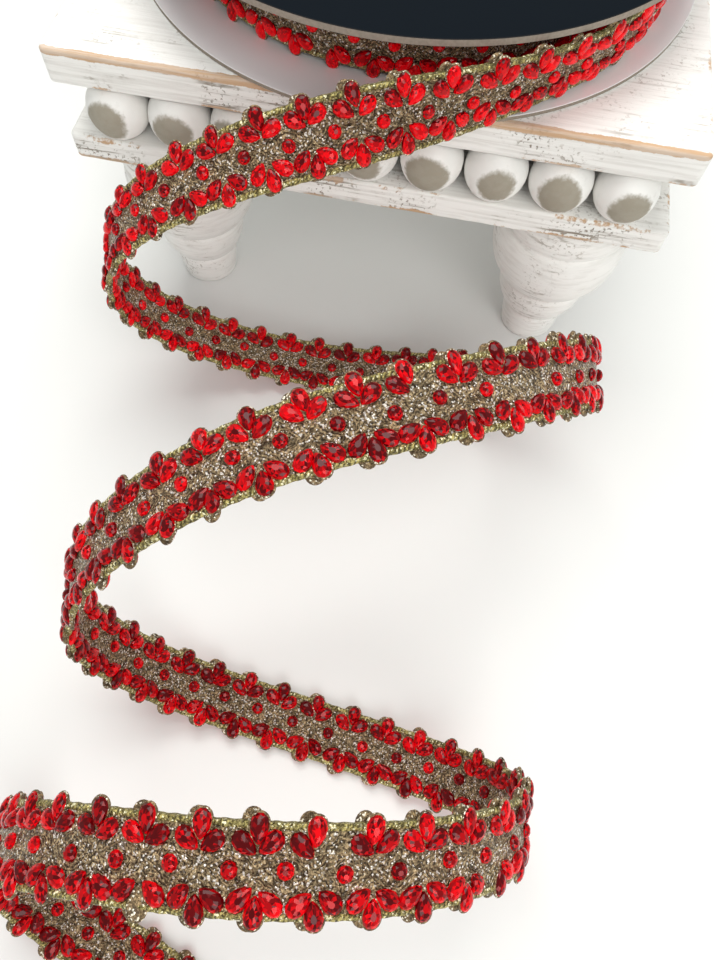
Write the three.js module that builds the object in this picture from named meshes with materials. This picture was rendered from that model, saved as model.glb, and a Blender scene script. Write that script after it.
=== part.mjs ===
// A spool of wired trim ribbon on a painted wooden riser, its loose end looping down to the
// surface. Millimetres, +Z up, with the front facing -Y. The origin is on the surface below
// the middle of the whole; inside the group, y = 0 is the riser's front edge.
import * as THREE from 'three';

// riser: two square boards with a row of wooden balls between them, on four turned legs
const GAP = 0.3;
const FRONT_EDGE_Y = 36;
const BOARD_SIDE = 265;
const BOARD_CORNER = 3;
const BOARD_BEVEL = 1;
const LOWER_BOARD_Z = 101.5;
const LOWER_BOARD_THICK = 11.8;
const UPPER_BOARD_Z = 138;
const UPPER_BOARD_THICK = 14.9;
const BALL_RADIUS = 13.4;
const BALL_PITCH = 27.25;
const BALL_SET_IN = 8;
const FRONT_BALLS = 9;
const SIDE_BALLS = 8;
const LEG_SET_IN = 37;

// half the outline of a turned leg, from the foot up
const LEG_OUTLINE = [
  { z: 0, radius: 13.5 },
  { z: 1.5, radius: 15 },
  { z: 12, radius: 16.5 },
  { z: 20, radius: 15.5 },
  { z: 23, radius: 19 },
  { z: 31, radius: 22.5 },
  { z: 41, radius: 24 },
  { z: 44, radius: 22.5 },
  { z: 48, radius: 26 },
  { z: 62, radius: 28.5 },
  { z: 70, radius: 26.5 },
  { z: 74, radius: 29 },
  { z: 90, radius: 32 },
  { z: 101.2, radius: 31 },
];

// spool: two round boards with the wound ribbon between them
const SPOOL_X = 2;
const SPOOL_Y = 115;
const FLANGE_RADIUS = 125;
const LOWER_FLANGE_Z = 153.2;
const LOWER_FLANGE_THICK = 1.9;
const UPPER_FLANGE_Z = 183.6;
const UPPER_FLANGE_THICK = 2.8;
const SPOOL_MID_Z = (LOWER_FLANGE_Z + LOWER_FLANGE_THICK + UPPER_FLANGE_Z) / 2;
const WINDING_RADIUS = 101.4;
const WINDING_FACE_RADIUS = 95;
const LAYER_THICK = 5.6;
const PEEL_ANGLE = 26;

// ribbon: a flat band with a cord along each edge and a petal past the edge at every repeat
const REPEAT = 16;
const BAND_HALF_WIDTH = 12.1;
const PETAL_REACH = 13.6;
const CORD_WIDTH = 1.9;
const BAND_HALF_THICK = 2.6;
const EDGE_HALF_THICK = 0.9;
const PETAL_FOOT = 2.9 / REPEAT;
const PETAL_TOP = 1.3 / REPEAT;

// The loose end's middle line, counted in repeats from the winding. Roll is the turn of the
// band's width about that line, in degrees, from the direction half way between back and up.
const TAIL_ROWS = [
  { at: -6, x: 96, y: 163, z: 169.3, roll: 22 },
  { at: -4, x: 107, y: 133, z: 169.3, roll: 13 },
  { at: -2, x: 111, y: 101, z: 169.3, roll: -5 },
  { at: 0, x: 106, y: 70, z: 169.3, roll: -22 },
  { at: 2, x: 93, y: 39, z: 169.3, roll: -39 },
  { at: 4, x: 72, y: 14, z: 169.2, roll: -47 },
  { at: 6, x: 46, y: -8, z: 169.8, roll: -39 },
  { at: 8, x: 17, y: -27, z: 170, roll: -20 },
  { at: 12, x: -42, y: -52, z: 158, roll: 6 },
  { at: 16, x: -91, y: -58, z: 118, roll: 3 },
  { at: 20, x: -95, y: -45, z: 58, roll: -18 },
  { at: 24, x: -50, y: -31, z: 17, roll: -29 },
  { at: 28, x: 13, y: -26, z: 10, roll: -23 },
  { at: 32, x: 72, y: -33, z: 33, roll: -11 },
  { at: 36, x: 107, y: -56, z: 79, roll: 7 },
  { at: 40, x: 95, y: -90, z: 129, roll: 25 },
  { at: 44, x: 52, y: -127, z: 158, roll: 34 },
  { at: 48, x: -3, y: -158, z: 159, roll: 43 },
  { at: 52, x: -50, y: -183, z: 126, roll: 26 },
  { at: 56, x: -70, y: -198, z: 68, roll: -13 },
  { at: 60, x: -42, y: -205, z: 14, roll: -43 },
  { at: 64, x: 18, y: -212, z: 3.1, roll: -45 },
  { at: 68, x: 79, y: -221, z: 14, roll: -33 },
  { at: 72, x: 102, y: -235, z: 67, roll: 9 },
  { at: 76, x: 64, y: -253, z: 113, roll: 29 },
  { at: 80, x: 4, y: -264, z: 120, roll: 34 },
  { at: 84, x: -53, y: -270, z: 94, roll: 36 },
  { at: 86, x: -71, y: -274, z: 69, roll: 28 },
  { at: 88, x: -79, y: -281, z: 40, roll: 1 },
  { at: 90, x: -69, y: -294, z: 14, roll: -41 },
  { at: 92, x: -44, y: -306, z: 4.1, roll: -44 },
  { at: 94, x: -14, y: -317, z: 3, roll: -47 },
  { at: 97, x: 31, y: -334, z: 2.8, roll: -47 },
];

const paint = (name, color, roughness, metalness = 0) =>
  new THREE.MeshStandardMaterial({ name, color, roughness, metalness });
const whitewash = paint('whitewash', 0xe4e1da, 0.6);
const whiteBoard = paint('white_board', 0xe6e2e1, 0.45);
const darkBoard = paint('dark_board', 0x1b2228, 0.35);
const metallicBraid = paint('metallic_braid', 0x9c8d6c, 0.45, 0.4);

const object = new THREE.Group();
object.position.y = FRONT_EDGE_Y;

function add(name, geometry, material, x = 0, y = 0, z = 0) {
  const mesh = new THREE.Mesh(geometry, material);
  mesh.name = name;
  mesh.position.set(x, y, z);
  object.add(mesh);
  return mesh;
}

// a square board with eased corners and edges, its underside at z = 0
function boardGeometry(side, thick) {
  const half = side / 2 - BOARD_BEVEL;
  const round = BOARD_CORNER;
  const outline = new THREE.Shape();
  outline.absarc(half - round, half - round, round, 0, Math.PI / 2);
  outline.absarc(round - half, half - round, round, Math.PI / 2, Math.PI);
  outline.absarc(round - half, round - half, round, Math.PI, 1.5 * Math.PI);
  outline.absarc(half - round, round - half, round, 1.5 * Math.PI, 2 * Math.PI);
  outline.closePath();
  const board = new THREE.ExtrudeGeometry(outline, {
    depth: thick - 2 * BOARD_BEVEL,
    bevelThickness: BOARD_BEVEL,
    bevelSize: BOARD_BEVEL,
    bevelSegments: 1,
    curveSegments: 3,
  });
  return board.translate(0, 0, BOARD_BEVEL);
}

// a solid turned about the Z axis; the outline runs from the bottom of the axis to its top
function turned(outline, segments) {
  const points = outline.map(({ radius, z }) => new THREE.Vector2(radius, z));
  return new THREE.LatheGeometry(points, segments).rotateX(Math.PI / 2);
}

function disc(radius, thick) {
  return turned([
    { z: 0, radius: 0 },
    { z: 0, radius },
    { z: thick, radius },
    { z: thick, radius: 0 },
  ], 96);
}

// a ball with a flat above and below where it meets the boards
function ballGeometry(halfHeight) {
  const outline = [{ z: -halfHeight, radius: 0 }];
  const steps = 4;
  const edge = Math.asin(halfHeight / BALL_RADIUS);
  for (let i = 0; i <= steps; i += 1) {
    const angle = edge * (2 * i / steps - 1);
    outline.push({ z: BALL_RADIUS * Math.sin(angle), radius: BALL_RADIUS * Math.cos(angle) });
  }
  outline.push({ z: halfHeight, radius: 0 });
  return turned(outline, 10);
}

// a smooth curve through the rows' values of one column, with no bend at its ends
function spline(rows, column) {
  const n = rows.length - 1;
  const step = rows.slice(1).map((row, i) => row.at - rows[i].at);
  const slope = step.map((h, i) => (rows[i + 1][column] - rows[i][column]) / h);
  const bend = new Array(n + 1).fill(0);
  const upper = [0];
  const right = [0];
  for (let i = 1; i < n; i += 1) {
    const pivot = 2 * (step[i - 1] + step[i]) - step[i - 1] * upper[i - 1];
    upper[i] = step[i] / pivot;
    right[i] = (6 * (slope[i] - slope[i - 1]) - step[i - 1] * right[i - 1]) / pivot;
  }
  for (let i = n - 1; i > 0; i -= 1) bend[i] = right[i] - upper[i] * bend[i + 1];
  return (at) => {
    let i = 0;
    while (i < n - 1 && at > rows[i + 1].at) i += 1;
    const h = step[i];
    const a = (rows[i + 1].at - at) / h;
    const b = 1 - a;
    return a * rows[i][column] + b * rows[i + 1][column]
      + ((a ** 3 - a) * bend[i] + (b ** 3 - b) * bend[i + 1]) * h * h / 6;
  };
}

// how far the outline reaches from the middle line, where 0 and 1 are two petals' middles
function reachAt(part) {
  const away = Math.abs(part - Math.round(part));
  const rise = (PETAL_FOOT - away) / (PETAL_FOOT - PETAL_TOP);
  const clamped = Math.min(Math.max(rise, 0), 1);
  return BAND_HALF_WIDTH + (PETAL_REACH - BAND_HALF_WIDTH) * clamped;
}

// four places in each repeat, at the foot and the top of both sides of the petal
function stationsBetween(first, last) {
  const places = [];
  for (let repeat = first; repeat <= last; repeat += 1) {
    for (const offset of [-PETAL_FOOT, -PETAL_TOP, PETAL_TOP, PETAL_FOOT]) {
      places.push(repeat + offset);
    }
  }
  return places;
}

// joins rings of points into one closed surface; the last ring meets the first if closed
function skin(rings, closed) {
  const around = rings[0].length;
  const index = [];
  const rows = closed ? rings.length : rings.length - 1;
  for (let i = 0; i < rows; i += 1) {
    const next = (i + 1) % rings.length;
    for (let j = 0; j < around; j += 1) {
      if (closed && j === around - 1) continue;
      const k = (j + 1) % around;
      const a = i * around + j;
      const b = i * around + k;
      const c = next * around + k;
      const d = next * around + j;
      index.push(a, b, c, a, c, d);
    }
  }
  if (!closed) {
    const end = (rings.length - 1) * around;
    for (let j = 1; j < around - 1; j += 1) {
      index.push(0, j + 1, j);
      index.push(end, end + j, end + j + 1);
    }
  }
  return { points: rings.flat(), index };
}

function solid({ points, index }) {
  const geometry = new THREE.BufferGeometry();
  geometry.setFromPoints(points);
  geometry.setIndex(index);
  geometry.computeVertexNormals();
  return geometry;
}

// the loose end: the band's cross-section carried along its middle line
function tailGeometry() {
  const first = TAIL_ROWS[0].at;
  const last = TAIL_ROWS[TAIL_ROWS.length - 1].at;
  const [x, y, z, roll] = ['x', 'y', 'z', 'roll'].map((column) => spline(TAIL_ROWS, column));
  const point = (at) => new THREE.Vector3(x(at), y(at), z(at));
  const reference = new THREE.Vector3(0, 1, 1).normalize();
  const places = [first + 0.5, ...stationsBetween(first + 1, last - 1), last - 0.5];
  const rings = places.map((at) => {
    const centre = point(at);
    const along = point(at + 0.01).sub(point(at - 0.01)).normalize();
    const across = reference.clone().addScaledVector(along, -reference.dot(along)).normalize();
    across.applyAxisAngle(along, THREE.MathUtils.degToRad(roll(at)));
    const face = along.clone().cross(across);
    const reach = reachAt(at);
    const inner = BAND_HALF_WIDTH - CORD_WIDTH;
    const section = [
      [-reach, -EDGE_HALF_THICK], [-inner, -BAND_HALF_THICK],
      [inner, -BAND_HALF_THICK], [reach, -EDGE_HALF_THICK],
      [reach, EDGE_HALF_THICK], [inner, BAND_HALF_THICK],
      [-inner, BAND_HALF_THICK], [-reach, EDGE_HALF_THICK],
    ];
    return section.map(([wide, deep]) => centre.clone()
      .addScaledVector(across, wide)
      .addScaledVector(face, deep));
  });
  return solid(skin(rings, false));
}

// the wound ribbon: its ends are the coil's flat faces, and its rim is the outermost turn,
// which grows by a layer clockwise and steps back in where the loose end has come away
function windingGeometry() {
  const repeats = Math.round(2 * Math.PI * WINDING_RADIUS / REPEAT);
  const face = BAND_HALF_WIDTH - 0.4;
  const rings = stationsBetween(0, repeats - 1).map((at) => {
    const turn = (at + 0.5) / repeats;
    const angle = THREE.MathUtils.degToRad(PEEL_ANGLE) - 2 * Math.PI * turn;
    const radius = WINDING_RADIUS + LAYER_THICK * turn;
    const reach = reachAt(at);
    const outline = [
      [0, -face], [WINDING_FACE_RADIUS, -face], [radius - 1.5, -reach], [radius, 1.5 - reach],
      [radius, reach - 1.5], [radius - 1.5, reach], [WINDING_FACE_RADIUS, face], [0, face],
    ];
    return outline.map(([out, up]) => new THREE.Vector3(
      out * Math.cos(angle), out * Math.sin(angle), up));
  });
  return solid(skin(rings, true));
}

add('riser_lower_board', boardGeometry(BOARD_SIDE, LOWER_BOARD_THICK), whitewash,
  0, BOARD_SIDE / 2, LOWER_BOARD_Z);
add('riser_upper_board', boardGeometry(BOARD_SIDE, UPPER_BOARD_THICK), whitewash,
  0, BOARD_SIDE / 2, UPPER_BOARD_Z);

// legs under the four corners
const legProfile = [{ z: 0, radius: 0 }, ...LEG_OUTLINE, { z: LOWER_BOARD_Z - GAP, radius: 0 }];
const legSpread = BOARD_SIDE / 2 - LEG_SET_IN;
for (const [place, x, y] of [
  ['front_left', -1, -1], ['front_right', 1, -1], ['back_left', -1, 1], ['back_right', 1, 1],
]) {
  add(`riser_leg_${place}`, turned(legProfile, 16), whitewash,
    x * legSpread, BOARD_SIDE / 2 + y * legSpread, 0);
}

// balls between the boards: full rows at the front and back, shorter rows at the sides
const ballBottom = LOWER_BOARD_Z + LOWER_BOARD_THICK + GAP;
const ballHalf = (UPPER_BOARD_Z - GAP - ballBottom) / 2;
const ballZ = ballBottom + ballHalf;
const ballEdge = BOARD_SIDE / 2 - BALL_SET_IN;
for (const [row, side, count] of [
  ['front', -1, FRONT_BALLS], ['back', 1, FRONT_BALLS],
  ['left', -1, SIDE_BALLS], ['right', 1, SIDE_BALLS],
]) {
  for (let i = 0; i < count; i += 1) {
    const along = (i - (count - 1) / 2) * BALL_PITCH;
    const across = side * ballEdge;
    const [x, y] = row === 'front' || row === 'back' ? [along, across] : [across, along];
    add(`riser_ball_${row}_${i + 1}`, ballGeometry(ballHalf), whitewash,
      x, BOARD_SIDE / 2 + y, ballZ);
  }
}

add('spool_flange_lower', disc(FLANGE_RADIUS, LOWER_FLANGE_THICK), whiteBoard,
  SPOOL_X, SPOOL_Y, LOWER_FLANGE_Z);
add('spool_flange_upper', disc(FLANGE_RADIUS, UPPER_FLANGE_THICK), darkBoard,
  SPOOL_X, SPOOL_Y, UPPER_FLANGE_Z);
add('ribbon_winding', windingGeometry(), metallicBraid, SPOOL_X, SPOOL_Y, SPOOL_MID_Z);
add('ribbon_tail', tailGeometry(), metallicBraid);

export default object;
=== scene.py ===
"""Looks of a spool of stone-set wired ribbon on a whitewashed wooden riser.

Metres, +Z up, front towards -Y. Lengths named below are in millimetres and are turned into
metres by MM where a mesh is made.
"""
import math

import bpy
import numpy as np
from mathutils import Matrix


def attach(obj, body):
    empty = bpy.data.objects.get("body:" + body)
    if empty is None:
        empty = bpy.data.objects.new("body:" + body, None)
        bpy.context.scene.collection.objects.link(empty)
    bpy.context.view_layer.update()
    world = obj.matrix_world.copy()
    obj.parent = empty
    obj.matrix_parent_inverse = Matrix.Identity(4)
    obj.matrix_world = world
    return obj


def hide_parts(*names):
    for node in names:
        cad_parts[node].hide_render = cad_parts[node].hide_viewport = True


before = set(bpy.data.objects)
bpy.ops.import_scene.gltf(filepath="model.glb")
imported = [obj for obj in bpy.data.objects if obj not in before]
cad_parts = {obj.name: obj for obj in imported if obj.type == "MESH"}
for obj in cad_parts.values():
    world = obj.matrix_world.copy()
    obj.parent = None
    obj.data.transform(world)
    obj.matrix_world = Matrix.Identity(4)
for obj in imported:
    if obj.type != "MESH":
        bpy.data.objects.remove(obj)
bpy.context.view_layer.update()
draw = np.random.default_rng(41)

MM = 0.001
FRONT_EDGE_Y = 36.0

# riser
BOARD_SIDE = 265.0
LOWER_BOARD_Z, LOWER_BOARD_THICK = 101.5, 11.8
UPPER_BOARD_Z, UPPER_BOARD_THICK = 138.0, 14.9
BALL_RADIUS = 13.4
BALL_PITCH = 27.25
BALL_SET_IN = 8.0
BALL_ROWS = {"front": 9, "back": 9, "left": 8, "right": 8}
LEG_SET_IN = 37.0
LEG_SEGMENTS, BALL_SEGMENTS, BALL_LEVELS = 56, 28, 15
GAP = 0.3  # between a board and what stands above or below it
BOARD_CORNER = 3.0  # corner radius, seen from above
BOARD_EASE = 1.3  # radius of the eased edges
BOARD_STEPS = 48  # points along one side
MIDDLE = 0.55  # marks the small ring in the middle of a flat in place of an inset
MIDDLE_HALF_WIDTH = 20.0
LEG_WEAR = 0.42
BALL_WEAR = 0.17  # added to how far a point of a ball faces out, which is 1 at the pole
# outline of a leg from the foot up: height, radius
LEG_OUTLINE = np.array([
    (0.0, 13.5), (1.5, 15.0), (12.0, 16.5), (18.0, 16.5), (20.5, 14.8), (23.0, 19.0),
    (31.0, 22.5), (41.0, 23.5), (44.5, 21.0), (47.0, 26.5), (54.0, 30.5), (62.0, 32.5),
    (72.0, 33.2), (79.0, 31.8), (81.0, 29.5), (83.5, 32.2), (92.0, 33.0), (101.2, 31.0),
])

# spool
SPOOL = np.array([2.0, 115.0 + FRONT_EDGE_Y, 169.35])
FLANGE_RADIUS = 125.0
LOWER_FLANGE_Z, LOWER_FLANGE_THICK = 153.2, 1.9
UPPER_FLANGE_Z, UPPER_FLANGE_THICK = 183.6, 2.8
FLANGE_EASE = 0.25  # radius of the eased edges
FLANGE_SEGMENTS, ROLL_SEGMENTS = 192, 120
LAYER_THICK = 5.6  # from one inner turn to the next
ROLL_UV_RADIUS = 98.0  # the radius where the braid's pattern has its true length

# ribbon
REPEAT = 16.0
BAND_RINGS, BAND_POINTS = 10, 13  # rings in a repeat, points across
CORD_RADIUS = 1.2
CORD_OFFSET = 11.2
CORD_RINGS, CORD_SIDES = 18, 8
CORD_SWELL, CORD_TWIST = 0.09, 21.0
WEB_HALF_THICK = 0.7
STONE_FOOT = 0.85
STONE_TOP = 2.9
PETAL_LENGTH, PETAL_WIDTH = 8.2, 5.5
PETAL_CORNERS, CUP_CORNERS, ROUND_CORNERS = 12, 22, 10
ROUND_RADIUS = 2.45
PINCH = 0.27  # how strongly a petal narrows towards its point
PINCHED_WIDEST = 0.855  # about the greatest half width of the outline before scaling
# thread cup: scale of the outline, height
CUP_LEVELS = [(0.86, 0.1), (1.04, 0.2), (1.11, 0.6), (1.12, 1.0), (1.05, 1.35), (0.9, 1.2)]
# petals of a group: distance along, distance across, lean in degrees
LOWER_PETALS = [(0.0, 10.3, 0.0), (4.2, 7.3, 52.0), (-4.2, 7.3, -52.0)]
UPPER_PETALS = [(0.0, 10.4, 0.0), (3.6, 6.7, 54.0), (-3.6, 6.7, -54.0)]
MIDDLE_PETALS, ROUND_STONE = (0, 3), 6  # places in the list of kinds
# how far the lower row moves in beside the roll, at which repeat most, over how many repeats
INWARD, INWARD_AT, INWARD_REACH = 2.2, 7.0, 12.0
LOST_SHARE = 0.007  # stones that are missing here and there

# the loose end's middle line: repeats from the roll, x, y from the riser's front edge, z in
# millimetres, and the roll of the band's width about the line in degrees
TAIL_ROWS = np.array([
    (-6, 96, 163, 169.3, 22), (-4, 107, 133, 169.3, 13), (-2, 111, 101, 169.3, -5),
    (0, 106, 70, 169.3, -22), (2, 93, 39, 169.3, -39), (4, 72, 14, 169.2, -47),
    (6, 46, -8, 169.8, -39), (8, 17, -27, 170, -20), (12, -42, -52, 158, 6),
    (16, -91, -58, 118, 3), (20, -95, -45, 58, -18), (24, -50, -31, 17, -29),
    (28, 13, -26, 10, -23), (32, 72, -33, 33, -11), (36, 107, -56, 79, 7),
    (40, 95, -90, 129, 25), (44, 52, -127, 158, 34), (48, -3, -158, 159, 43),
    (52, -50, -183, 126, 26), (56, -70, -198, 68, -13), (60, -42, -205, 14, -43),
    (64, 18, -212, 3.1, -45), (68, 79, -221, 14, -33), (72, 102, -235, 67, 9),
    (76, 64, -253, 113, 29), (80, 4, -264, 120, 34), (84, -53, -270, 94, 36),
    (86, -71, -274, 69, 28), (88, -79, -281, 40, 1), (90, -69, -294, 14, -41),
    (92, -44, -306, 4.1, -44), (94, -14, -317, 3, -47), (97, 31, -334, 2.8, -47),
], dtype=float)
TAIL_FIRST, TAIL_LAST = -6.0, 96.5
WOUND_START_RADIUS = 98.8
WOUND_END_RADIUS = 105.5
WOUND_END_ANGLE = math.radians(27.05)
WOUND_REPEATS = 40.25
WOUND_SPARE = 0.25  # left free so that the turn doesn't meet itself
INNER_FACE_SHIFT = 0.13  # how far the two faces' stones are out of step, in repeats
BARE_THREADS_AT = 78.0  # the repeat where a petal is missing
OUTER, INNER = -1, 1  # the two faces of the ribbon


# meshes

def mesh_object(name, points, faces, material, smooth=True, uv=None, attributes=None):
    """A closed mesh from an array of points and a list of arrays of faces, each array with
    its own number of corners. If the signed volume is negative every face is turned over.
    Nothing goes below the surface that the object stands on, at height 0."""
    points = np.array(points, dtype=float).reshape(-1, 3)
    points[:, 2] = np.maximum(points[:, 2], 0.0)
    volume = 0.0
    for block in faces:
        corner = points[block]
        for k in range(1, block.shape[1] - 1):
            volume += np.einsum("ij,ij->", corner[:, 0],
                                np.cross(corner[:, k], corner[:, k + 1]))
    if volume < 0:
        faces = [block[:, ::-1] for block in faces]
    mesh = bpy.data.meshes.new(name)
    mesh.vertices.add(len(points))
    mesh.vertices.foreach_set("co", points.ravel())
    loops = np.concatenate([block.ravel() for block in faces]).astype(np.int32)
    counts = np.concatenate([np.full(len(block), block.shape[1]) for block in faces])
    starts = np.concatenate([[0], np.cumsum(counts)[:-1]]).astype(np.int32)
    mesh.loops.add(len(loops))
    mesh.loops.foreach_set("vertex_index", loops)
    mesh.polygons.add(len(counts))
    mesh.polygons.foreach_set("loop_start", starts)
    mesh.update(calc_edges=True)
    mesh.polygons.foreach_set("use_smooth", np.full(len(counts), smooth))
    if uv is not None:
        layer = mesh.uv_layers.new(name="UVMap")
        layer.data.foreach_set("uv", np.asarray(uv, dtype=float)[loops].ravel())
    for key, (domain, values) in (attributes or {}).items():
        mesh.attributes.new(key, "FLOAT", domain).data.foreach_set(
            "value", np.asarray(values, dtype=float).ravel())
    mesh.materials.append(material)
    mesh.validate()
    piece = bpy.data.objects.new(name, mesh)
    bpy.context.scene.collection.objects.link(piece)
    return piece


def add_piece(piece, slot, *nodes):
    """Rides the piece on the one body and hides the solids that it stands for. slot is not
    used.
    """
    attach(piece, "root")
    if nodes:
        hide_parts(*nodes)


def grid_faces(rows, columns):
    """Quads of a grid whose columns close on themselves: (i, j), (i, j + 1), (i + 1, j + 1)
    and (i + 1, j)."""
    i = np.arange(rows - 1)[:, None]
    j = np.arange(columns)[None, :]
    right = (j + 1) % columns
    return np.stack([i * columns + j, i * columns + right,
                     (i + 1) * columns + right, (i + 1) * columns + j], -1).reshape(-1, 4)


def swept(rings):
    """Rings of points joined one to the next, with a flat end at the first and the last."""
    rows, columns = rings.shape[:2]
    ends = np.stack([np.arange(columns)[::-1], (rows - 1) * columns + np.arange(columns)])
    return rings.reshape(-1, 3), [grid_faces(rows, columns), ends]


def turned(profile, segments, centre=(0.0, 0.0, 0.0)):
    """A profile of (height, radius) turned about the Z axis: x = r cos a, y = r sin a."""
    angle = np.linspace(0, 2 * np.pi, segments, endpoint=False)
    height, radius = np.asarray(profile, dtype=float).T
    rings = np.stack([radius[:, None] * np.cos(angle), radius[:, None] * np.sin(angle),
                      np.repeat(height[:, None], segments, 1)], -1)
    points, faces = swept(rings)
    return points + np.asarray(centre), faces


def many(shape_points, shape_faces, centre, along, across, out):
    """Copies of a shape: centre + x along + y across + z out for each copy's own axes."""
    points = (centre[:, None] + shape_points[None, :, :1] * along[:, None]
              + shape_points[None, :, 1:2] * across[:, None]
              + shape_points[None, :, 2:] * out[:, None])
    step = len(shape_points) * np.arange(len(centre))
    faces = [(block[None] + step[:, None, None]).reshape(-1, block.shape[1])
             for block in shape_faces]
    return points.reshape(-1, 3), faces


def joined(parts):
    """Several (points, faces) as one."""
    points, faces, count = [], [], 0
    for part_points, part_faces in parts:
        points.append(part_points)
        faces += [block + count for block in part_faces]
        count += len(part_points)
    return np.concatenate(points), faces


def unit(vectors):
    """Each vector divided by its own length."""
    return vectors / np.linalg.norm(vectors, axis=-1, keepdims=True)


def spline(knots, values):
    """A natural cubic spline through the knots, which has no bend at either end. Gives a
    function that returns the values and their slopes at an array of places."""
    step = np.diff(knots)
    slope = np.diff(values, axis=0) / step[:, None]
    size = len(knots)
    matrix = np.eye(size)
    right = np.zeros_like(values)
    for i in range(1, size - 1):
        matrix[i, i - 1:i + 2] = step[i - 1], 2 * (step[i - 1] + step[i]), step[i]
        right[i] = 6 * (slope[i] - slope[i - 1])
    bend = np.linalg.solve(matrix, right)

    def at_places(at):
        i = np.clip(np.searchsorted(knots, at, side="right") - 1, 0, size - 2)
        h = step[i][:, None]
        a = (knots[i + 1][:, None] - at[:, None]) / h
        b = 1 - a
        value = (a * values[i] + b * values[i + 1]
                 + ((a ** 3 - a) * bend[i] + (b ** 3 - b) * bend[i + 1]) * h * h / 6)
        rise = slope[i] + ((1 - 3 * a * a) * bend[i] + (3 * b * b - 1) * bend[i + 1]) * h / 6
        return value, rise
    return at_places


tail_spline = spline(TAIL_ROWS[:, 0], TAIL_ROWS[:, 1:])


def tail_axes(at):
    """Middle, direction, width and face of the loose end. The width is the direction half
    way between back and up, squared to the line and turned about it by the roll."""
    at = np.asarray(at, dtype=float)
    value, rise = tail_spline(at)
    middle = value[:, :3] + (0, FRONT_EDGE_Y, 0)
    along = unit(rise[:, :3])
    reference = np.array([0, 1, 1]) / math.sqrt(2)  # half way between back and up
    width = unit(reference - along * (along @ reference)[:, None])
    side = np.cross(along, width)
    roll = np.radians(value[:, 3:])
    width = width * np.cos(roll) + side * np.sin(roll)
    return middle, along, width, np.cross(along, width)


def wound_axes(at):
    """The same for the roll's outermost turn, a clockwise spiral: the angle falls evenly, and
    the radius grows by one layer with the square root of the part of the turn that is done."""
    at = np.asarray(at, dtype=float)
    turn = 1 + (at - TAIL_FIRST) / WOUND_REPEATS
    angle = WOUND_END_ANGLE - 2 * np.pi * turn
    radius = WOUND_START_RADIUS + (WOUND_END_RADIUS - WOUND_START_RADIUS) * np.sqrt(
        np.clip(turn, 0, 1))
    out = np.stack([np.cos(angle), np.sin(angle), 0 * angle], -1)
    along = np.stack([np.sin(angle), -np.cos(angle), 0 * angle], -1)
    width = np.zeros_like(out) + (0, 0, 1)
    return SPOOL + out * radius[:, None], along, width, -out


def band(axes, first, last):
    """The woven middle, a flat section carried along the middle line: middle + width times
    the place across, plus or minus face times half the thickness."""
    at = np.linspace(first, last, int((last - first) * BAND_RINGS) + 1)
    middle, _, width, face = axes(at)
    wide = np.linspace(-1, 1, BAND_POINTS)
    top = np.stack([wide * CORD_OFFSET, 0 * wide + WEB_HALF_THICK], -1)
    section = np.concatenate([top, -top])
    rings = (middle[:, None] + width[:, None] * section[None, :, :1]
             + face[:, None] * section[None, :, 1:])
    uv = np.stack(np.broadcast_arrays(at[:, None], section[None, :, 0] / REPEAT), -1)
    points, faces = swept(rings)
    return points * MM, faces, uv.reshape(-1, 2)


def edge_cord(axes, first, last, side):
    """A twisted cord along one edge, a round section carried along: edge + width times
    r cos a + face times r sin a, where r swells and narrows as a sine of the place along."""
    at = np.linspace(first, last, int((last - first) * CORD_RINGS) + 1)
    middle, _, width, face = axes(at)
    turn = np.linspace(0, 2 * np.pi, CORD_SIDES, endpoint=False)
    radius = CORD_RADIUS * (1 + CORD_SWELL * np.sin(at * CORD_TWIST + side))[:, None]
    wide = side * CORD_OFFSET + radius * np.cos(turn)
    deep = radius * np.sin(turn)
    rings = (middle[:, None] + width[:, None] * wide[..., None]
             + face[:, None] * deep[..., None])
    uv = np.stack(np.broadcast_arrays(at[:, None], turn / (2 * np.pi)), -1)
    points, faces = swept(rings)
    return points * MM, faces, uv.reshape(-1, 2)


def petal_outline(corners):
    """A petal's outline, with its point at the low end of x: x = half length times cos a,
    y = half width times sin a times ((1 + cos a) / 2) to the power PINCH."""
    angle = 2 * np.pi * (np.arange(corners) + 0.5) / corners
    pinch = ((1 + np.cos(angle)) / 2) ** PINCH
    return np.stack([PETAL_LENGTH / 2 * np.cos(angle),
                     PETAL_WIDTH / 2 * np.sin(angle) * pinch / PINCHED_WIDEST], -1)


def round_outline():
    """A circle: x = r cos a, y = r sin a."""
    angle = np.arange(ROUND_CORNERS) * np.pi / (ROUND_CORNERS / 2)
    return ROUND_RADIUS * np.stack([np.cos(angle), np.sin(angle)], -1)


def cut_stone(outline):
    """A faceted stone: a short wall, three crowns that round over like a dome, whose corners
    alternate, and a small flat table."""
    corners = len(outline)
    half_way = (outline + np.roll(outline, -1, 0)) / 2
    # outline, its scale, its height
    levels = [(outline, 0.94, STONE_FOOT), (outline, 1.0, STONE_FOOT + 0.45),
              (half_way, 0.90, STONE_FOOT + 1.2), (outline, 0.64, STONE_TOP - 0.35),
              (half_way, 0.32, STONE_TOP)]
    points = np.concatenate([np.column_stack([ring * scale, np.full(corners, height)])
                             for ring, scale, height in levels])
    k = np.arange(corners)
    nxt = (k + 1) % corners
    facets = []
    for level in (1, 2, 3):
        low, high = level * corners, (level + 1) * corners
        if level % 2:
            facets += [np.stack([low + k, low + nxt, high + k], -1),
                       np.stack([low + nxt, high + nxt, high + k], -1)]
        else:
            facets += [np.stack([low + k, high + nxt, high + k], -1),
                       np.stack([low + k, low + nxt, high + nxt], -1)]
    wall = np.stack([k, nxt, corners + nxt, corners + k], -1)
    ends = np.stack([k[::-1], 4 * corners + k])
    return points, [np.concatenate(facets), wall, ends]


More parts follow.
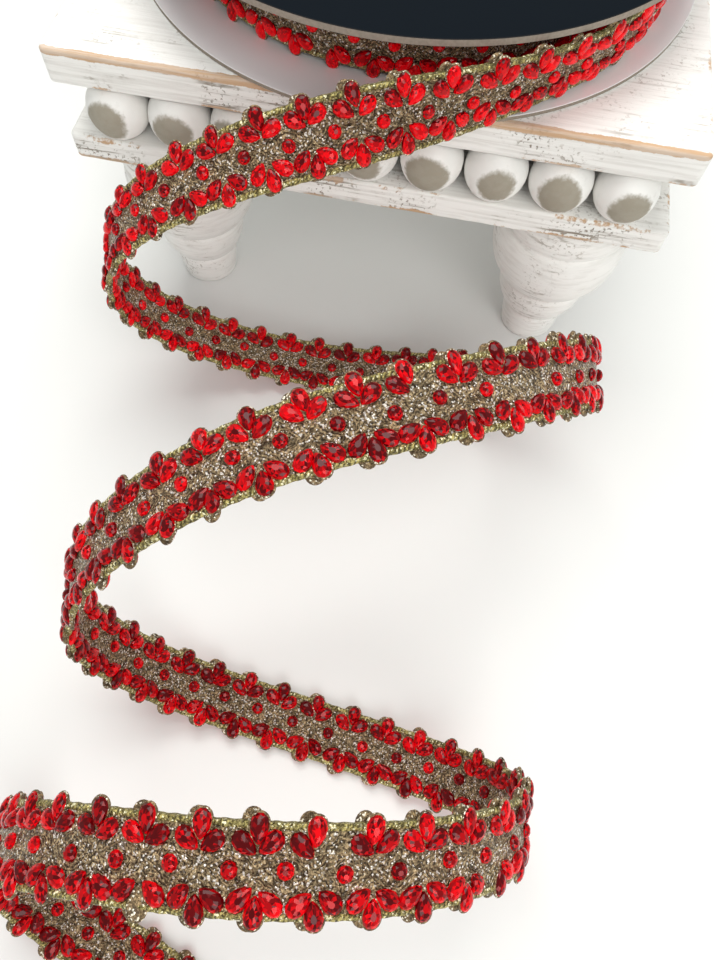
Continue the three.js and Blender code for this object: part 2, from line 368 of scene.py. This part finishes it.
def thread_cup(outline):
    """The thread setting under a petal, a pad a little larger than it: the outline times each
    level's scale, at each level's height."""
    rings = np.stack([np.column_stack([outline * scale, np.full(len(outline), height)])
                      for scale, height in CUP_LEVELS])
    return swept(rings)


def clusters(axes, repeats, face, shift):
    """Places of the stones on one face. At each repeat and edge a middle petal and two side
    petals fan out from one point, and a round stone sits half way to the next repeat: place =
    middle + width times the distance across. Gives seven kinds, three petals at the lower
    edge, three at the upper edge and the round stones, each as arrays of centre, direction,
    side and outward axes."""
    count = len(repeats)
    base = repeats + shift + draw.normal(0, 0.018, count)
    # beside the roll the lower row sits further in on the band
    inward = INWARD * np.clip(1 - np.abs(repeats - INWARD_AT) / INWARD_REACH, 0, 1)
    sets = []
    for edge, kinds in ((-1, LOWER_PETALS), (1, UPPER_PETALS)):
        for ahead, offset, lean in kinds:
            offset = offset - inward * (edge < 0)
            sets.append((base + ahead / REPEAT, edge * offset + draw.normal(0, 0.25, count),
                         np.radians(lean + draw.normal(0, 5, count)), edge))
    sets.append((repeats + 0.5 + shift + draw.normal(0, 0.03, count),
                 draw.normal(0, 0.6, count), draw.uniform(0, 6.28, count), 1))
    placed = []
    for at, offset, lean, edge in sets:
        middle, along, width, normal = axes(at)
        out = normal * face
        direction = along * np.sin(lean)[:, None] + width * (edge * np.cos(lean))[:, None]
        out = unit(out + direction * draw.normal(0, 0.09, count)[:, None]
                   + along * draw.normal(0, 0.09, count)[:, None])
        direction = unit(direction - out * np.einsum("ij,ij->i", direction, out)[:, None])
        placed.append((middle + width * offset[:, None], direction,
                       np.cross(out, direction), out))
    return placed


def set_stones(name, axes, jobs, left_out=()):
    """Petals and round stones of one stretch as one mesh, and the thread cups under the
    middle petals as another. jobs lists (repeats, face, shift), and left_out lists stones
    that are missing, as (face, repeat, kind)."""
    petal = cut_stone(petal_outline(PETAL_CORNERS))
    round_stone = cut_stone(round_outline())
    cup = thread_cup(petal_outline(CUP_CORNERS))
    stone_parts, cup_parts, painted_facet_shades = [], [], []
    for repeats, face, shift in jobs:
        placed = clusters(axes, repeats, face, shift)
        for kind, (centre, direction, side, out) in enumerate(placed):
            keep = draw.random(len(centre)) > LOST_SHARE
            for left_face, left_repeat, left_kind in left_out:
                if (left_face, left_kind) == (face, kind):
                    keep &= repeats != left_repeat
            shape = round_stone if kind == ROUND_STONE else petal
            stone_parts.append(many(*shape, centre[keep], direction[keep], side[keep],
                                    out[keep]))
            # a facet's painted light and shade, standing in for the light that the glass and
            # foil throw back, is part its stone's and part its own
            own = draw.random(keep.sum())
            for block in shape[1]:
                painted_facet_shades.append(0.4 * np.repeat(own, len(block))
                              + 0.6 * draw.random(len(block) * len(own)))
            if kind in MIDDLE_PETALS:
                cup_parts.append(many(*cup, centre, direction, side, out))
    points, faces = joined(stone_parts)
    stones = mesh_object(f"{name}_stones", points * MM, faces, materials["red_stone"], False,
                         attributes={"painted_facet_light": ("FACE", np.concatenate(painted_facet_shades))})
    points, faces = joined(cup_parts)
    cups = mesh_object(f"{name}_thread_cups", points * MM, faces, materials["gold_thread"])
    return stones, cups


# materials

def node(tree, kind, values=None, **settings):
    """A shader node with its settings, and its inputs linked or set."""
    made = tree.nodes.new(kind)
    for key, value in settings.items():
        setattr(made, key, value)
    for key, value in (values or {}).items():
        if isinstance(value, bpy.types.NodeSocket):
            tree.links.new(value, made.inputs[key])
        else:
            made.inputs[key].default_value = value
    return made


def maths(tree, operation, *values, clamp=False):
    """One sum, product or other operation on numbers."""
    made = node(tree, "ShaderNodeMath", dict(enumerate(values)), operation=operation)
    made.use_clamp = clamp
    return made.outputs[0]


def blended(tree, factor, first, second):
    """The first colour where the factor is 0 and the second where it is 1."""
    made = node(tree, "ShaderNodeMix", {0: factor, 6: first, 7: second}, data_type="RGBA")
    return made.outputs[2]


def between(tree, value, low, high):
    """0 below low, 1 above high and smooth between."""
    made = node(tree, "ShaderNodeMapRange", {0: value, 1: low, 2: high},
                interpolation_type="SMOOTHSTEP")
    return made.outputs[0]


def group(name, inputs, outputs):
    """A new node group with its named inputs and outputs."""
    tree = bpy.data.node_groups.new(name, "ShaderNodeTree")
    for direction, sockets in (("INPUT", inputs), ("OUTPUT", outputs)):
        for socket, kind in sockets:
            tree.interface.new_socket(socket, in_out=direction, socket_type=f"NodeSocket{kind}")
    return tree, node(tree, "NodeGroupInput").outputs, node(tree, "NodeGroupOutput").inputs


def placed_group(tree, made, values):
    """A node group placed in a material with the material's own values."""
    return node(tree, "ShaderNodeGroup", values, node_tree=made).outputs


def noise(tree, place, scale, detail, roughness=0.5):
    """Blender's noise from 0 to 1 at a place."""
    return node(tree, "ShaderNodeTexNoise", {
        "Vector": place, "Scale": scale, "Detail": detail, "Roughness": roughness}).outputs[0]


def worn_paint_group():
    """Thin white paint on wood: faint brush lines along the grain, grey cracks and specks,
    more of them on upright faces, and bare wood where Edge plus Ragged times a noise nears 1.
    Wear is how far the paint is gone there, and Specks how strong the marks are."""
    tree, given, result = group(
        "worn_paint",
        [("Edge", "Float"), ("Ragged", "Float"), ("Grain", "Vector"), ("Wear", "Float"),
         ("Specks", "Float"), ("Paint", "Color"), ("Bare", "Color"), ("Grey", "Color")],
        [("Color", "Color"), ("Roughness", "Float"), ("Height", "Float")])
    place = node(tree, "ShaderNodeTexCoord").outputs["Object"]
    stretched = node(tree, "ShaderNodeVectorMath", {0: place, 1: given["Grain"]},
                     operation="MULTIPLY").outputs[0]
    lines = noise(tree, stretched, 16.0, 5.0, 0.6)
    blots = noise(tree, place, 38.0, 4.0, 0.65)
    fine = noise(tree, place, 620.0, 3.0, 0.6)
    # the bare places
    ragged = maths(tree, "MULTIPLY_ADD", fine, 0.33, maths(tree, "SUBTRACT", blots, 0.665))
    worn = maths(tree, "MULTIPLY_ADD", ragged, given["Ragged"], given["Edge"])
    bare = between(tree, worn, 0.86, 1.0)
    bare = maths(tree, "MULTIPLY", bare, given["Wear"])
    streaks = between(tree, lines, 0.42, 0.62)
    brushed = maths(tree, "MULTIPLY", streaks, given["Specks"])
    bare = maths(tree, "MULTIPLY", bare, maths(tree, "MULTIPLY_ADD", brushed, -0.35, 1.0))
    # the marks, half as strong on level faces
    normal = node(tree, "ShaderNodeNewGeometry").outputs["Normal"]
    up = node(tree, "ShaderNodeSeparateXYZ", {0: normal}).outputs[2]
    soiled = maths(tree, "MULTIPLY_ADD", maths(tree, "ABSOLUTE", up), -0.5, 1.0)
    soiled = maths(tree, "MULTIPLY", soiled, given["Specks"])
    cracks = maths(tree, "MULTIPLY", between(tree, lines, 0.56, 0.64),
                   between(tree, blots, 0.46, 0.60))
    specks = maths(tree, "MULTIPLY", between(tree, fine, 0.56, 0.63),
                   between(tree, blots, 0.48, 0.62))
    dirt = maths(tree, "MULTIPLY", maths(tree, "MAXIMUM", cracks, specks), soiled)
    shade = maths(tree, "MULTIPLY", maths(tree, "MULTIPLY", streaks, soiled), 0.2)
    # the colours one over the other, then the relief
    colour = blended(tree, shade, given["Paint"], given["Grey"])
    colour = blended(tree, dirt, colour, given["Grey"])
    colour = blended(tree, bare, colour, given["Bare"])
    tree.links.new(colour, result["Color"])
    tree.links.new(maths(tree, "MULTIPLY_ADD", bare, 0.25, 0.48), result["Roughness"])
    height = maths(tree, "ADD", maths(tree, "MULTIPLY", lines, 0.6),
                   maths(tree, "MULTIPLY", fine, 0.25))
    height = maths(tree, "SUBTRACT", height, maths(tree, "MULTIPLY", dirt, 0.5))
    height = maths(tree, "SUBTRACT", height, maths(tree, "MULTIPLY", bare, 0.5))
    tree.links.new(height, result["Height"])
    return tree


def metal_thread_group():
    """Glittering metal thread: small cells with a lightness of 0.7 times chance squared plus
    half the ridge pattern, all times a soft noise, so that the grooves are darker, partly the
    thread's own dark and partly painted shade, and one cell in eight nearly white, a painted
    glint."""
    tree, given, result = group(
        "metal_thread",
        [("Place", "Vector"), ("Scale", "Float"), ("Ridge", "Float"), ("Dark", "Color"),
         ("Light", "Color"), ("PaintedGlint", "Color")],
        [("Color", "Color"), ("Roughness", "Float"), ("Height", "Float")])
    cells = node(tree, "ShaderNodeTexVoronoi", {"Vector": given["Place"],
                                                "Scale": given["Scale"]}).outputs
    chance = node(tree, "ShaderNodeSeparateColor", {0: cells["Color"]}).outputs
    soft = noise(tree, given["Place"], 7.0, 3.0)
    light = maths(tree, "MULTIPLY", maths(tree, "MULTIPLY", chance[0], chance[0]), 0.7)
    # crests lighter and grooves darker: the grooves are partly the thread's own dark and partly
    # painted shade
    light = maths(tree, "MULTIPLY_ADD", given["Ridge"], 0.5, light)
    light = maths(tree, "MULTIPLY", light, maths(tree, "MULTIPLY_ADD", soft, 3.2, -0.75),
                  clamp=True)
    colour = blended(tree, light, given["Dark"], given["Light"])
    # painted glints: one cell in eight nearly white
    painted_glint = between(tree, chance[1], 0.86, 0.9)
    colour = blended(tree, painted_glint, colour, given["PaintedGlint"])
    tree.links.new(colour, result["Color"])
    tree.links.new(maths(tree, "MULTIPLY_ADD", chance[2], 0.35, 0.2), result["Roughness"])
    height = maths(tree, "MULTIPLY_ADD", cells["Distance"], -0.6, given["Ridge"])
    tree.links.new(maths(tree, "ADD", height, maths(tree, "MULTIPLY", chance[2], 0.35)),
                   result["Height"])
    return tree


worn_paint = worn_paint_group()
metal_thread = metal_thread_group()


def new_material(name, display):
    """A material with its plain display colour, its node tree and its shader's inputs."""
    made = bpy.data.materials.new(name)
    made.use_nodes = True
    made.diffuse_color = (*display, 1)
    tree = made.node_tree
    return made, tree, tree.nodes["Principled BSDF"].inputs


def bumped(tree, height, distance, strength=1.0):
    """A normal tilted by the slope of a height."""
    return node(tree, "ShaderNodeBump", {"Height": height, "Distance": distance,
                                         "Strength": strength}).outputs[0]


def painted_wood(name, grain, wear, specks, ragged, bare):
    """Worn white paint, bare where the mesh's edge attribute says."""
    made, tree, shader = new_material(name, WHITE_PAINT[:3])
    edge = node(tree, "ShaderNodeAttribute", attribute_name="edge").outputs["Fac"]
    out = placed_group(tree, worn_paint, {
        "Edge": edge, "Ragged": ragged, "Grain": grain, "Wear": wear, "Specks": specks,
        "Paint": WHITE_PAINT, "Bare": bare, "Grey": DIRT_GREY})
    tree.links.new(out["Color"], shader["Base Color"])
    tree.links.new(out["Roughness"], shader["Roughness"])
    tree.links.new(bumped(tree, out["Height"], 0.0006, 0.6), shader["Normal"])
    return made


def thread_material(name, dark, light, painted_glint, ridge_maker, metallic, depth):
    """Metal thread in its colours, with painted glints and partly painted shade in its grooves,
    over one of the ridge patterns below.
    """
    made, tree, shader = new_material(name, light[:3])
    place = node(tree, "ShaderNodeTexCoord").outputs["UV"]
    ridge, cell_place = ridge_maker(tree, place)
    out = placed_group(tree, metal_thread, {
        "Place": cell_place, "Scale": THREAD_CELLS, "Ridge": ridge, "Dark": dark,
        "Light": light, "PaintedGlint": painted_glint})
    tree.links.new(out["Color"], shader["Base Color"])
    tree.links.new(out["Roughness"], shader["Roughness"])
    tree.links.new(bumped(tree, out["Height"], depth), shader["Normal"])
    shader["Metallic"].default_value = metallic
    return made


def braid_ridges(tree, place):
    """Thread bundles that run out from the point of each group of petals: a sine of the
    distance across, less 0.8 of the distance along from the group, plus a third of a noise."""
    part = node(tree, "ShaderNodeSeparateXYZ", {0: place}).outputs
    ahead = maths(tree, "PINGPONG", part[0], 0.5)
    across = maths(tree, "ABSOLUTE", part[1])
    wobble = noise(tree, place, 7.0, 2.0)
    far = maths(tree, "MULTIPLY_ADD", ahead, -0.8, across)
    far = maths(tree, "MULTIPLY_ADD", wobble, 0.34, far)
    wave = maths(tree, "SINE", maths(tree, "MULTIPLY", far, 62.0))
    return maths(tree, "MULTIPLY_ADD", wave, 0.5, 0.5), place


def twist_ridges(tree, place):
    """Two strands twisted: a sine of the distance along, plus twice the angle round the
    cord, plus a noise."""
    part = node(tree, "ShaderNodeSeparateXYZ", {0: place}).outputs
    wobble = noise(tree, place, 9.0, 2.0)
    phase = maths(tree, "MULTIPLY_ADD", part[0], 62.0,
                  maths(tree, "MULTIPLY", part[1], 12.566))
    phase = maths(tree, "MULTIPLY_ADD", wobble, 9.0, phase)
    wave = maths(tree, "SINE", phase)
    scaled = node(tree, "ShaderNodeVectorMath", {0: place, 1: (1.0, 0.39, 1.0)},
                  operation="MULTIPLY").outputs[0]
    return maths(tree, "MULTIPLY_ADD", wave, 0.5, 0.5), scaled


def cup_ridges(tree, _):
    """Thread wound round a petal's setting: a noise on object coordinates, which are turned
    from metres into repeats."""
    spot = node(tree, "ShaderNodeTexCoord").outputs["Object"]
    per_metre = 1 / (REPEAT * MM)
    scaled = node(tree, "ShaderNodeVectorMath", {0: spot, 1: (per_metre,) * 3},
                  operation="MULTIPLY").outputs[0]
    return noise(tree, scaled, 18.0, 2.0), scaled


def stone_material():
    """Red glass on foil, its colour painted light and shade. Its painted glow is 0.66 less 0.6
    times the normal's z, less 0.12 times its y, plus 1.5 times the facet's painted light less
    0.75, so that facets that face up are deep in painted shade and those that face down glow."""
    made, tree, shader = new_material("red_stone", (0.7, 0.01, 0.02))
    painted_facet_light = node(tree, "ShaderNodeAttribute", attribute_name="painted_facet_light").outputs["Fac"]
    normal = node(tree, "ShaderNodeNewGeometry").outputs["Normal"]
    up = node(tree, "ShaderNodeSeparateXYZ", {0: normal}).outputs
    # painted light: facets that face up are shaded and facets that face down glow
    painted_glow = maths(tree, "MULTIPLY_ADD", up[2], -0.6, 0.66)
    painted_glow = maths(tree, "MULTIPLY_ADD", up[1], -0.12, painted_glow)
    painted_glow = maths(tree, "ADD", painted_glow, maths(tree, "MULTIPLY_ADD", painted_facet_light, 1.5, -0.75), clamp=True)
    colour = blended(tree, painted_glow, PAINTED_SHADE_RED, PAINTED_GLOW_RED)
    tree.links.new(colour, shader["Base Color"])
    shader["Roughness"].default_value = 0.07
    shader["Specular IOR Level"].default_value = 0.22
    # a faint painted glow: the stone gives off red light though it is no lamp
    shader["Emission Color"].default_value = (0.8, 0.0, 0.01, 1)
    shader["Emission Strength"].default_value = 0.03
    return made


def darker(colour, share):
    """A share of each of a colour's parts."""
    return tuple(share * part for part in colour[:3]) + (1,)


def board_material(name, face_colour, rim_colour, roughness, gloss):
    """Coated board: where the normal's z is large it is smooth and coloured, and elsewhere
    it is the bare grey-brown of the cut rim."""
    made, tree, shader = new_material(name, face_colour[:3])
    normal = node(tree, "ShaderNodeNewGeometry").outputs["Normal"]
    up = maths(tree, "ABSOLUTE", node(tree, "ShaderNodeSeparateXYZ", {0: normal}).outputs[2])
    place = node(tree, "ShaderNodeTexCoord").outputs["Object"]
    fibres = noise(tree, place, 900.0, 3.0)
    cloud = noise(tree, place, 14.0, 4.0)
    rim = blended(tree, fibres, darker(rim_colour, 0.55), rim_colour)
    flat = blended(tree, cloud, face_colour, darker(face_colour, 0.85))
    mask = between(tree, up, 0.45, 0.75)
    tree.links.new(blended(tree, mask, rim, flat), shader["Base Color"])
    rough = maths(tree, "MULTIPLY_ADD", mask, roughness - 0.7, 0.7)
    tree.links.new(maths(tree, "MULTIPLY_ADD", cloud, 0.08, rough), shader["Roughness"])
    tree.links.new(bumped(tree, fibres, 0.00005, 0.5), shader["Normal"])
    shader["Specular IOR Level"].default_value = gloss
    return made


WHITE_PAINT = (0.90, 0.89, 0.86, 1)
DIRT_GREY = (0.27, 0.23, 0.18, 1)
TAN = (0.58, 0.38, 0.23, 1)
GREY_BROWN = (0.30, 0.265, 0.20, 1)
LEG_WOOD = (0.45, 0.40, 0.33, 1)
# the stone's painted shade and painted glow, blended facet by facet
PAINTED_SHADE_RED = (0.06, 0.0001, 0.001, 1)
PAINTED_GLOW_RED = (0.95, 0.001, 0.006, 1)
THREAD_CELLS = 30.0  # cells in a repeat
# name: grain, wear, specks, ragged, bare colour
PAINTS = {
    "board_paint": ((1.6, 36.0, 36.0), 1.0, 1.0, 1.5, TAN),
    "leg_paint": ((5.0, 5.0, 30.0), 0.5, 0.6, 1.5, LEG_WOOD),
    "ball_paint": ((9.0, 9.0, 12.0), 0.95, 0.12, 0.4, GREY_BROWN),
}
# name: face colour, rim colour, roughness, gloss
BOARDS = {
    "white_board": ((0.90, 0.875, 0.88, 1), (0.36, 0.31, 0.25, 1), 0.3, 0.4),
    "dark_board": ((0.005, 0.008, 0.012, 1), (0.42, 0.36, 0.30, 1), 0.5, 0.02),
}
# name: dark (in the grooves partly painted shade), light, painted glint colour, ridges,
# metallic, depth of the relief in metres
THREADS = {
    "metallic_braid": ((0.022, 0.013, 0.005, 1), (0.66, 0.50, 0.28, 1),
                       (1.0, 0.96, 0.88, 1), braid_ridges, 0.3, 0.0007),
    "gold_edge_cord": ((0.045, 0.033, 0.008, 1), (0.66, 0.56, 0.20, 1),
                       (1.0, 0.95, 0.62, 1), twist_ridges, 0.35, 0.0004),
    "gold_thread": ((0.03, 0.015, 0.006, 1), (0.46, 0.32, 0.16, 1),
                    (0.95, 0.88, 0.72, 1), cup_ridges, 0.35, 0.0005),
}
materials = {name: painted_wood(name, *values) for name, values in PAINTS.items()}
materials.update((name, board_material(name, *values)) for name, values in BOARDS.items())
materials.update((name, thread_material(name, *values)) for name, values in THREADS.items())
materials["red_stone"] = stone_material()


# riser

def slab(name, low, thick, top_wear):
    """A square board: a rounded square carried through a profile from the middle of its
    underside, round its eased edges, to the middle of its top. The edge attribute, which
    tells the paint where it is worn, is high on the edges and falls to 0 on the flats."""
    turn = np.linspace(0, np.pi / 2, 5)
    around, above = BOARD_EASE * (1 - np.sin(turn)), BOARD_EASE * (1 - np.cos(turn))
    # inset from the side, height, edge attribute
    profile = [(MIDDLE, 0.0, 0.0), (14.0, 0.0, 0.0), (4.5, 0.0, 0.35), (BOARD_EASE, 0.0, 0.8)]
    profile += [(inset, rise, 0.88) for inset, rise in zip(around, above)]
    profile += [(0.0, 3.5, 0.4), (0.0, thick / 2, 0.05), (0.0, thick - 3.5, 0.45)]
    profile += [(inset, thick - drop, top_wear) for inset, drop in zip(above, around)]
    profile += [(BOARD_EASE, thick, 0.9 * top_wear), (3.2, thick, 0.36 * top_wear),
                (14.0, thick, 0.0), (MIDDLE, thick, 0.0)]
    rings, edge = [], []
    for inset, height, wear in profile:
        half = MIDDLE_HALF_WIDTH if inset == MIDDLE else BOARD_SIDE / 2 - inset
        radius = max(BOARD_CORNER - inset, 0.8)
        straight = np.linspace(-(half - radius), half - radius, BOARD_STEPS)
        arc = np.linspace(0, np.pi / 2, 5)[1:-1]
        one = np.concatenate([
            np.stack([straight, np.full(BOARD_STEPS, -half)], -1),
            np.stack([half - radius + radius * np.sin(arc),
                      -(half - radius) - radius * np.cos(arc)], -1)])
        loop = [one]
        for _ in range(3):
            one = np.stack([-one[:, 1], one[:, 0]], -1)
            loop.append(one)
        loop = np.concatenate(loop)
        rings.append(np.column_stack([loop[:, 0], loop[:, 1] + BOARD_SIDE / 2 + FRONT_EDGE_Y,
                                      np.full(len(loop), low + height)]))
        # only the front edge is worn right through
        edge.append(np.where(loop[:, 1] < -half + 1.0, wear, min(wear, 0.86)))
    rings = np.stack(rings)
    # the edges waver by less than a fifth of a millimetre
    wave = 0.12 * np.sin(rings[..., 0] * 0.21) + 0.1 * np.sin(rings[..., 0] * 0.57 + 1.0)
    near_edge = np.array([1.0 if w >= 0.8 else 0.0 for *_, w in profile])[:, None]
    rings[..., 2] += wave * near_edge * np.sign(rings[..., 2] - low - thick / 2) * 0.8
    points, faces = swept(rings)
    return mesh_object(name, points * MM, faces, materials["board_paint"],
                       attributes={"edge": ("POINT", np.concatenate(edge))})


def leg_profile():
    """The leg's outline: straight lines between the rows, cut in five and smoothed by a
    moving average with weights 1, 2, 3, 2, 1."""
    knots, radii = LEG_OUTLINE[:, 0], LEG_OUTLINE[:, 1]
    height = np.concatenate([np.linspace(a, b, 6)[:-1] for a, b in zip(knots[:-1], knots[1:])])
    height = np.append(height, knots[-1])
    radius = np.interp(height, knots, radii)
    soft = np.convolve(np.pad(radius, 2, mode="edge"), np.array([1, 2, 3, 2, 1]) / 9, "valid")
    top = [(LOWER_BOARD_Z - GAP, r) for r in (30.0, 15.0, 0.5)]
    return np.array([(0.0, 0.5), (0.0, 7.0), (0.0, 12.6)] + list(zip(height, soft)) + top)


for node_name, low, thick, wear in (
        ("riser_lower_board", LOWER_BOARD_Z, LOWER_BOARD_THICK, 0.78),
        ("riser_upper_board", UPPER_BOARD_Z, UPPER_BOARD_THICK, 1.5)):
    add_piece(slab(f"{node_name}_painted", low, thick, wear), "whitewash", node_name)

spread = BOARD_SIDE / 2 - LEG_SET_IN
for place, side_x, side_y in (("front_left", -1, -1), ("front_right", 1, -1),
                              ("back_left", -1, 1), ("back_right", 1, 1)):
    leg_points, leg_faces = turned(
        leg_profile(), LEG_SEGMENTS,
        (side_x * spread, BOARD_SIDE / 2 + side_y * spread + FRONT_EDGE_Y, 0.0))
    leg = mesh_object(f"riser_leg_{place}_turned", leg_points * MM, leg_faces,
                      materials["leg_paint"],
                      attributes={"edge": ("POINT", np.full(len(leg_points), LEG_WEAR))})
    add_piece(leg, "whitewash", f"riser_leg_{place}")

ball_bottom = LOWER_BOARD_Z + LOWER_BOARD_THICK + GAP
ball_half = (UPPER_BOARD_Z - GAP - ball_bottom) / 2
lift = np.linspace(-1, 1, BALL_LEVELS) * math.asin(ball_half / BALL_RADIUS)
ball = turned([(-ball_half, 0.3)]
              + [(BALL_RADIUS * math.sin(a), BALL_RADIUS * math.cos(a)) for a in lift]
              + [(ball_half, 0.3)], BALL_SEGMENTS)
for row, count in BALL_ROWS.items():
    side = -1 if row in ("front", "left") else 1
    run = (np.arange(count) - (count - 1) / 2) * BALL_PITCH
    out = side * (BOARD_SIDE / 2 - BALL_SET_IN)
    spots = [(x, out) if row in ("front", "back") else (out, x) for x in run]
    outward = np.array([0.0, side] if row in ("front", "back") else [side, 0.0])
    ball_parts, ball_edge = [], []
    for x, y in spots:
        # the bare spot lies round the pole that faces out, a little to one side
        turn = draw.normal(0, 0.12)
        facing = np.array([outward[0] * math.cos(turn) - outward[1] * math.sin(turn),
                           outward[0] * math.sin(turn) + outward[1] * math.cos(turn)])
        ball_edge.append(ball[0][:, :2] @ facing / BALL_RADIUS
                         * (1 - 0.15 * (ball[0][:, 2] / BALL_RADIUS) ** 2) + BALL_WEAR
                         + draw.normal(0, 0.03))
        ball_parts.append((ball[0] + (x, y + BOARD_SIDE / 2 + FRONT_EDGE_Y,
                                      ball_bottom + ball_half), ball[1]))
    row_points, row_faces = joined(ball_parts)
    balls = mesh_object(f"riser_balls_{row}", row_points * MM, row_faces,
                        materials["ball_paint"],
                        attributes={"edge": ("POINT", np.concatenate(ball_edge))})
    add_piece(balls, "whitewash", *[f"riser_ball_{row}_{i + 1}" for i in range(count)])


# spool

for node_name, low, thick, look in (
        ("spool_flange_lower", LOWER_FLANGE_Z, LOWER_FLANGE_THICK, "white_board"),
        ("spool_flange_upper", UPPER_FLANGE_Z, UPPER_FLANGE_THICK, "dark_board")):
    # height, radius
    flange_profile = [(0, 0.5), (0, 60.0), (0, FLANGE_RADIUS - 3),
                      (0, FLANGE_RADIUS - FLANGE_EASE), (FLANGE_EASE, FLANGE_RADIUS),
                      (thick - FLANGE_EASE, FLANGE_RADIUS),
                      (thick, FLANGE_RADIUS - FLANGE_EASE), (thick, FLANGE_RADIUS - 3),
                      (thick, 60.0), (thick, 0.5)]
    disc_points, disc_faces = turned(flange_profile, FLANGE_SEGMENTS,
                                     (SPOOL[0], SPOOL[1], low))
    add_piece(mesh_object(f"{node_name}_cut", disc_points * MM, disc_faces, materials[look],
                          smooth=False), look, node_name)

# the roll: its flat faces show the edges of the inner turns as rings, and its rim is hidden
# by the outermost turn, which is a band of its own
rings_radius = np.arange(40.0, 94.0, 1.4)
rings_height = 11.2 + 0.7 * np.cos(2 * np.pi * rings_radius / LAYER_THICK)
# height, radius
roll_profile = ([(-11.0, 0.5), (-11.0, 38.0)]
                + [(-h, r) for h, r in zip(rings_height, rings_radius)]
                + [(-10.4, 95.5), (-9.5, 97.6), (9.5, 97.6), (10.4, 95.5)]
                + [(h, r) for h, r in zip(rings_height[::-1], rings_radius[::-1])]
                + [(11.0, 38.0), (11.0, 0.5)])
roll_points, roll_faces = turned(roll_profile, ROLL_SEGMENTS, SPOOL)
from_axis = roll_points[:, :2] - SPOOL[:2]
roll_uv = np.stack([np.arctan2(from_axis[:, 1], from_axis[:, 0]) * ROLL_UV_RADIUS / REPEAT,
                    np.hypot(from_axis[:, 0], from_axis[:, 1]) / REPEAT], -1)
roll = mesh_object("ribbon_roll_inner_turns", roll_points * MM, roll_faces,
                   materials["metallic_braid"], uv=roll_uv)
add_piece(roll, "metallic_braid", "ribbon_winding")


# ribbon

def ribbon_stretch(name, axes, first, last, jobs, left_out=()):
    """Band, edge cords, stones and thread cups of one stretch of ribbon."""
    points, faces, uv = band(axes, first, last)
    web = mesh_object(f"{name}_band", points, faces, materials["metallic_braid"], uv=uv)
    trims = []
    for side, edge in ((-1, "lower"), (1, "upper")):
        points, faces, uv = edge_cord(axes, first, last, side)
        trims.append(mesh_object(f"{name}_edge_cord_{edge}", points, faces,
                                 materials["gold_edge_cord"], uv=uv))
    trims += set_stones(name, axes, jobs, left_out)
    return web, trims


wound_first = TAIL_FIRST - WOUND_REPEATS + WOUND_SPARE
wound_repeats = np.arange(math.ceil(wound_first + 0.5), TAIL_FIRST - 0.4)
wound_band, wound_trims = ribbon_stretch(
    "ribbon_outer_turn", wound_axes, wound_first, TAIL_FIRST, [(wound_repeats, OUTER, 0.0)])
tail_repeats = np.arange(TAIL_FIRST + 1, TAIL_LAST - 0.5)
tail_band, tail_trims = ribbon_stretch(
    "ribbon_loose_end", tail_axes, TAIL_FIRST, TAIL_LAST,
    [(tail_repeats, OUTER, 0.0), (tail_repeats, INNER, INNER_FACE_SHIFT)],
    left_out=[(OUTER, BARE_THREADS_AT, 5)])

for piece in (wound_band, *wound_trims):
    add_piece(piece, "metallic_braid")
for piece in (tail_band, *tail_trims):
    add_piece(piece, "metallic_braid", "ribbon_tail")


def middle_length(axes, first, last):
    """The middle line's length in metres, the sum of the distances from each of 2,000 of its
    points to the next."""
    middle = axes(np.linspace(first, last, 2000))[0] * MM
    return float(np.linalg.norm(np.diff(middle, axis=0), axis=1).sum())


tail_length = middle_length(tail_axes, TAIL_FIRST, TAIL_LAST)
wound_length = middle_length(wound_axes, wound_first, TAIL_FIRST)


# stage, light and camera

def stage_material():
    """The plain pale floor."""
    made, tree, shader = new_material("pale_floor", (0.8, 0.8, 0.8))
    shader["Base Color"].default_value = (0.80, 0.805, 0.795, 1)
    shader["Roughness"].default_value = 0.55
    return made


FLOOR_HALF = 6  # metres
floor_mesh = bpy.data.meshes.new("floor")
floor_mesh.from_pydata([(-FLOOR_HALF, -FLOOR_HALF, 0), (FLOOR_HALF, -FLOOR_HALF, 0),
                        (FLOOR_HALF, FLOOR_HALF, 0), (-FLOOR_HALF, FLOOR_HALF, 0)],
                       [], [(0, 1, 2, 3)])
floor_mesh.materials.append(stage_material())
floor = bpy.data.objects.new("floor", floor_mesh)
bpy.context.scene.collection.objects.link(floor)


def area_light(name, place, target, size, energy, colour):
    """A square light turned to face a target: tilt = atan(distance along the floor / drop),
    and the turn about the vertical points the tilt at the target."""
    data = bpy.data.lights.new(name, "AREA")
    data.shape, data.size, data.energy, data.color = "SQUARE", size, energy, colour
    lamp = bpy.data.objects.new(name, data)
    bpy.context.scene.collection.objects.link(lamp)
    aim = np.subtract(target, place)
    lamp.location = place
    lamp.rotation_euler = (math.atan2(math.hypot(aim[0], aim[1]), -aim[2]), 0,
                           math.atan2(aim[0], -aim[1]) + math.pi)


area_light("window", (-0.1, 0.5, 1.4), (0, 0, 0.05), 1.1, 18.5, (1.0, 0.995, 0.965))
area_light("fill", (0.6, -1.1, 1.1), (0, 0, 0.08), 1.0, 12.5, (1.0, 1.0, 0.98))
world = bpy.data.worlds.new("studio")
bpy.context.scene.world = world
world.use_nodes = True
sky = world.node_tree.nodes["Background"].inputs
sky["Color"].default_value = (0.96, 0.98, 0.96, 1)
sky["Strength"].default_value = 0.47
bpy.context.scene.view_settings.view_transform = "Standard"

# the camera's place was solved from the riser's edges and the rims of both flanges
camera_data = bpy.data.cameras.new("camera")
camera_data.sensor_width = 36.0
camera_data.lens = 27.04
camera_data.clip_start = 0.01
camera = bpy.data.objects.new("camera", camera_data)
bpy.context.scene.collection.objects.link(camera)
camera.location = (0.03625, -0.2098, 0.3414)
camera.rotation_euler = tuple(math.radians(a) for a in (25.0466, -2.1155, 10.7011))
bpy.context.scene.camera = camera
